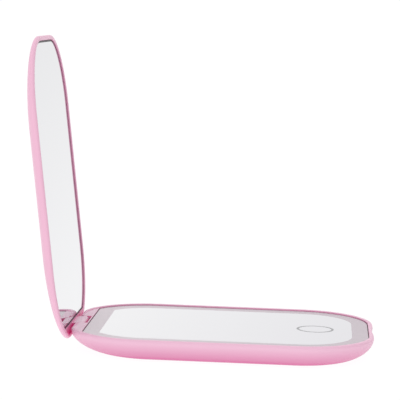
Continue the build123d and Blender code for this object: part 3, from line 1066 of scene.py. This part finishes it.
def zone_face(
    glass: bpy.types.Object, outline: Outline, face: float, depth: float, zones: list[float]
) -> None:
    """Marks zones on a glass's face, each within the last, and numbers their materials.

    Args:
        glass: The glass plate, cut off straight at its back.
        outline: The outline that the glass is drawn in from.
        face: Height of the face.
        depth: How far into the glass the marking reaches, negative downwards.
        zones: How far within the glass's edge each zone starts; each takes the next material.
    """
    back = min(vertex.co.x for vertex in glass.data.vertices)
    inset = outline.half_width - max(vertex.co.y for vertex in glass.data.vertices)
    low, high = sorted((face, face + depth))
    for zone in zones:
        combine(glass, outline.slab(low, high, Insets.even(inset + zone), back + zone), "UNION")
    for polygon in glass.data.polygons:
        corners = [glass.data.vertices[number].co for number in polygon.vertices]
        if any(abs(corner.z - face) > TINY for corner in corners):
            polygon.material_index = 0
            continue
        within = min(min(outline.inset_at(corner) - inset, corner.x - back) for corner in corners)
        polygon.material_index = sum(within > zone - ZONE_MARGIN for zone in zones)


@dataclass
class Lid:
    """The upper half: thin bowed shell and full mirror."""

    outline: Outline
    hinge: Hinge
    edge_radius: float = 0.95
    rim_width: float = 1.9
    lip: float = 0.25
    curve: CurvedBack = CurvedBack(Insets(side=8.2, front=26.0, hinge=26.0), power=2.08)
    parting_gap: float = 0.2
    depth: float = 4.3
    plate_insets: Insets = Insets(side=5.0, front=6.0, hinge=4.5)
    plate_depth: float = 0.7
    plate_clearance: float = 0.05
    neck_half: float = 7.85
    neck_top: float = 1.25
    setback: float = 2.86
    magnet_radius: float = 2.55
    magnet_height: float = 1.25
    # Width of the dark edge band: partly the glass's own edge, partly painted shade of the gap to the rim.
    dark_edge_and_gap_shade: float = 0.7
    marking: float = 0.3

    def build(self) -> None:
        """Builds every visible piece of the lid."""
        self.shell()
        self.mirror()

    def shell(self) -> None:
        """Builds the lid's thin shell."""
        turn = self.hinge.turn()
        plane = node_box("base_shell")[1].z + self.parting_gap
        rim = edge_round(plane, self.edge_radius, 1)
        back = self.curve.sections(plane + self.edge_radius, self.depth - self.edge_radius)
        shell = self.outline.loft(rim + back)
        floor = node_box("lid_frame", turn)[1].z - self.plate_depth + self.plate_clearance
        flare = lip_flare(plane, self.lip, self.rim_width, 1)
        above = Section(plane - CUT_CLEARANCE, Insets.even(self.rim_width - self.lip))
        pocket = [Section(floor, Insets.even(self.rim_width)), *flare, above]
        combine(shell, self.outline.loft(pocket))
        combine(shell, self.outline.slab(floor - CUT_OVERLAP, floor + self.plate_depth, self.plate_insets))
        for x, y in magnet_spots(turn):
            middle = Vector((x, y, floor + self.magnet_height / 2 - CUT_OVERLAP))
            length = self.magnet_height + 2 * CUT_OVERLAP
            combine(shell, rod(middle, self.magnet_radius, length, upright=True))
        end = self.hinge.x + self.setback
        low = Vector((end - 2 * self.depth, -self.neck_half, plane - self.depth))
        combine(shell, block(low, Vector((end, self.neck_half, plane + self.neck_top))))
        complete(shell, "moulded_lid", Body.LID, "lid_shell", [LID_PINK.material()], turn)

    def mirror(self) -> None:
        """Builds the lid's mirror with its dark edge, partly the glass's own and partly painted shade of the
        gap to the rim.
        """
        turn = self.hinge.turn()
        low, high = node_box("lid_mirror", turn)
        inset = self.outline.half_width - high.y
        glass = self.outline.slab(low.z, high.z, Insets.even(inset), low.x)
        zone_face(glass, self.outline, low.z, self.marking, [self.dark_edge_and_gap_shade])
        materials = [DARK_EDGE_AND_GAP_SHADE.material(), LID_SILVERED.material()]
        complete(glass, "lid_looking_glass", Body.LID, "lid_mirror", materials, turn)


def magnet_spots(turn: Matrix) -> list[tuple[float, float]]:
    """Finds the two magnets of the shut lid.

    Args:
        turn: How the open lid is turned.

    Returns:
        The middle of each magnet along the length and across the width.
    """
    low, high = node_box("lid_magnets", turn)
    radius = (high.x - low.x) / 2
    return [(low.x + radius, low.y + radius), (low.x + radius, high.y - radius)]


# ------------------------------------------------------------------------------------------- stage


@dataclass(frozen=True)
class Camera:
    """Where the mirror is looked at from: place and lens in millimetres, angles in radians."""

    place: tuple[float, float, float] = (37.25, -725.25, 137.29)
    heading: float = -0.0663
    dip: float = 0.1077
    roll: float = 0.0285
    lens: float = 164.65
    nearest: float = 0.01

    def build(self) -> None:
        """Adds the camera and makes it the scene's own."""
        reach = cos(self.dip)
        forward = Vector((sin(self.heading) * reach, cos(self.heading) * reach, -sin(self.dip)))
        level = Vector((cos(self.heading), -sin(self.heading), 0))
        upright = level.cross(forward)
        right = cos(self.roll) * level + sin(self.roll) * upright
        top = cos(self.roll) * upright - sin(self.roll) * level
        axes = Matrix((right, top, -forward)).transposed().to_4x4()
        bpy.ops.object.camera_add()
        camera = bpy.context.object
        camera.matrix_world = Matrix.Translation(Vector(self.place) * MM) @ axes
        camera.data.lens = self.lens
        camera.data.clip_start = self.nearest
        bpy.context.scene.camera = camera


@dataclass(frozen=True)
class Softbox:
    """A square soft light that looks at the mirror."""

    name: str
    place: tuple[float, float, float]
    size: float
    power: float
    target: tuple[float, float, float] = (0.0, 0.0, 0.04)

    def build(self) -> None:
        """Adds the light."""
        bpy.ops.object.light_add(type="AREA", location=self.place)
        light = bpy.context.object
        light.name = self.name
        light.data.size = self.size
        light.data.energy = self.power
        aim = Vector(self.target) - Vector(self.place)
        light.rotation_euler = aim.to_track_quat("-Z", "Y").to_euler()


@dataclass(frozen=True)
class Stage:
    """Pale floor, soft lights, and a white room that darkens towards both ends of the mirror.

    Each wall is a direction along the length, from -1 to 1, and how bright the room is there.
    """

    floor_size: float = 6.0
    floor_colour: Colour = (0.08, 0.08, 0.08)
    floor_glow: float = 0.96
    floor_roughness: float = 0.9
    surroundings: float = 1.03
    walls: tuple[tuple[float, float], ...] = ((-1.0, 0.66), (-0.2, 1.0), (0.15, 1.0), (1.0, 0.41))
    softboxes: tuple[Softbox, ...] = (
        Softbox("overhead", (-0.1, -0.1, 1.2), 1.2, 0.8),
        Softbox("front_left", (-0.9, -0.9, 0.7), 0.8, 0.15),
    )

    def build(self) -> None:
        """Adds the floor, the room and the lights."""
        self._floor()
        self._room()
        for softbox in self.softboxes:
            softbox.build()
        bpy.context.scene.view_settings.view_transform = "Standard"

    def _room(self) -> None:
        """Adds the white room around the mirror."""
        world = bpy.data.worlds.new("white_room")
        world.use_nodes = True
        tree = world.node_tree
        background = tree.nodes["Background"]
        background.inputs["Strength"].default_value = self.surroundings
        direction = tree.nodes.new("ShaderNodeTexCoord")
        parts = tree.nodes.new("ShaderNodeSeparateXYZ")
        tree.links.new(direction.outputs["Generated"], parts.inputs["Vector"])
        across = tree.nodes.new("ShaderNodeMapRange")
        across.inputs["From Min"].default_value = -1
        tree.links.new(parts.outputs["X"], across.inputs["Value"])
        walls = tree.nodes.new("ShaderNodeValToRGB")
        walls.color_ramp.interpolation = "EASE"
        stops = walls.color_ramp.elements
        for number, (reach, level) in enumerate(self.walls):
            if number >= len(stops):
                stops.new(1)
            stops[number].position = (reach + 1) / 2
            stops[number].color = (level, level, level, 1)
        tree.links.new(across.outputs["Result"], walls.inputs["Fac"])
        tree.links.new(walls.outputs["Color"], background.inputs["Color"])
        bpy.context.scene.world = world

    def _floor(self) -> None:
        """Adds the floor."""
        bpy.ops.object.select_all(action="DESELECT")
        bpy.ops.mesh.primitive_plane_add(size=self.floor_size, location=(0, 0, -FLOOR_DROP))
        floor = bpy.context.object
        floor.name = "pale_floor"
        material = bpy.data.materials.new("pale_floor")
        material.use_nodes = True
        shader = material.node_tree.nodes["Principled BSDF"]
        shader.inputs["Base Color"].default_value = (*self.floor_colour, 1)
        shader.inputs["Roughness"].default_value = self.floor_roughness
        shader.inputs["Specular IOR Level"].default_value = 0
        shader.inputs["Emission Color"].default_value = (1, 1, 1, 1)
        shader.inputs["Emission Strength"].default_value = self.floor_glow
        floor.data.materials.append(material)


def dress_frame_nodes() -> None:
    """Gives every CAD node that stays in view the finish of its slot."""
    made: dict[str, bpy.types.Material] = {}
    for slot, node in NODE_SLOTS:
        if slot not in made:
            made[slot] = INNER_FINISHES[slot].material()
        piece = frame["nodes"][node]
        for place in piece.material_slots:
            place.material = made[slot]
        LOG.info("%s: finished as %s", node, slot)


def main() -> None:
    """Builds the mirror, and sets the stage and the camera."""
    logging.basicConfig(level=logging.INFO, format="%(name)s: %(message)s")
    low, high = node_box("base_shell")
    outline = Outline(low.x, high.x, high.y)
    hinge = Hinge.of_frame()
    Base(outline, hinge, high.z).build()
    Lid(outline, hinge).build()
    dress_frame_nodes()
    Stage().build()
    Camera().build()


if __name__ == "__main__":
    main()
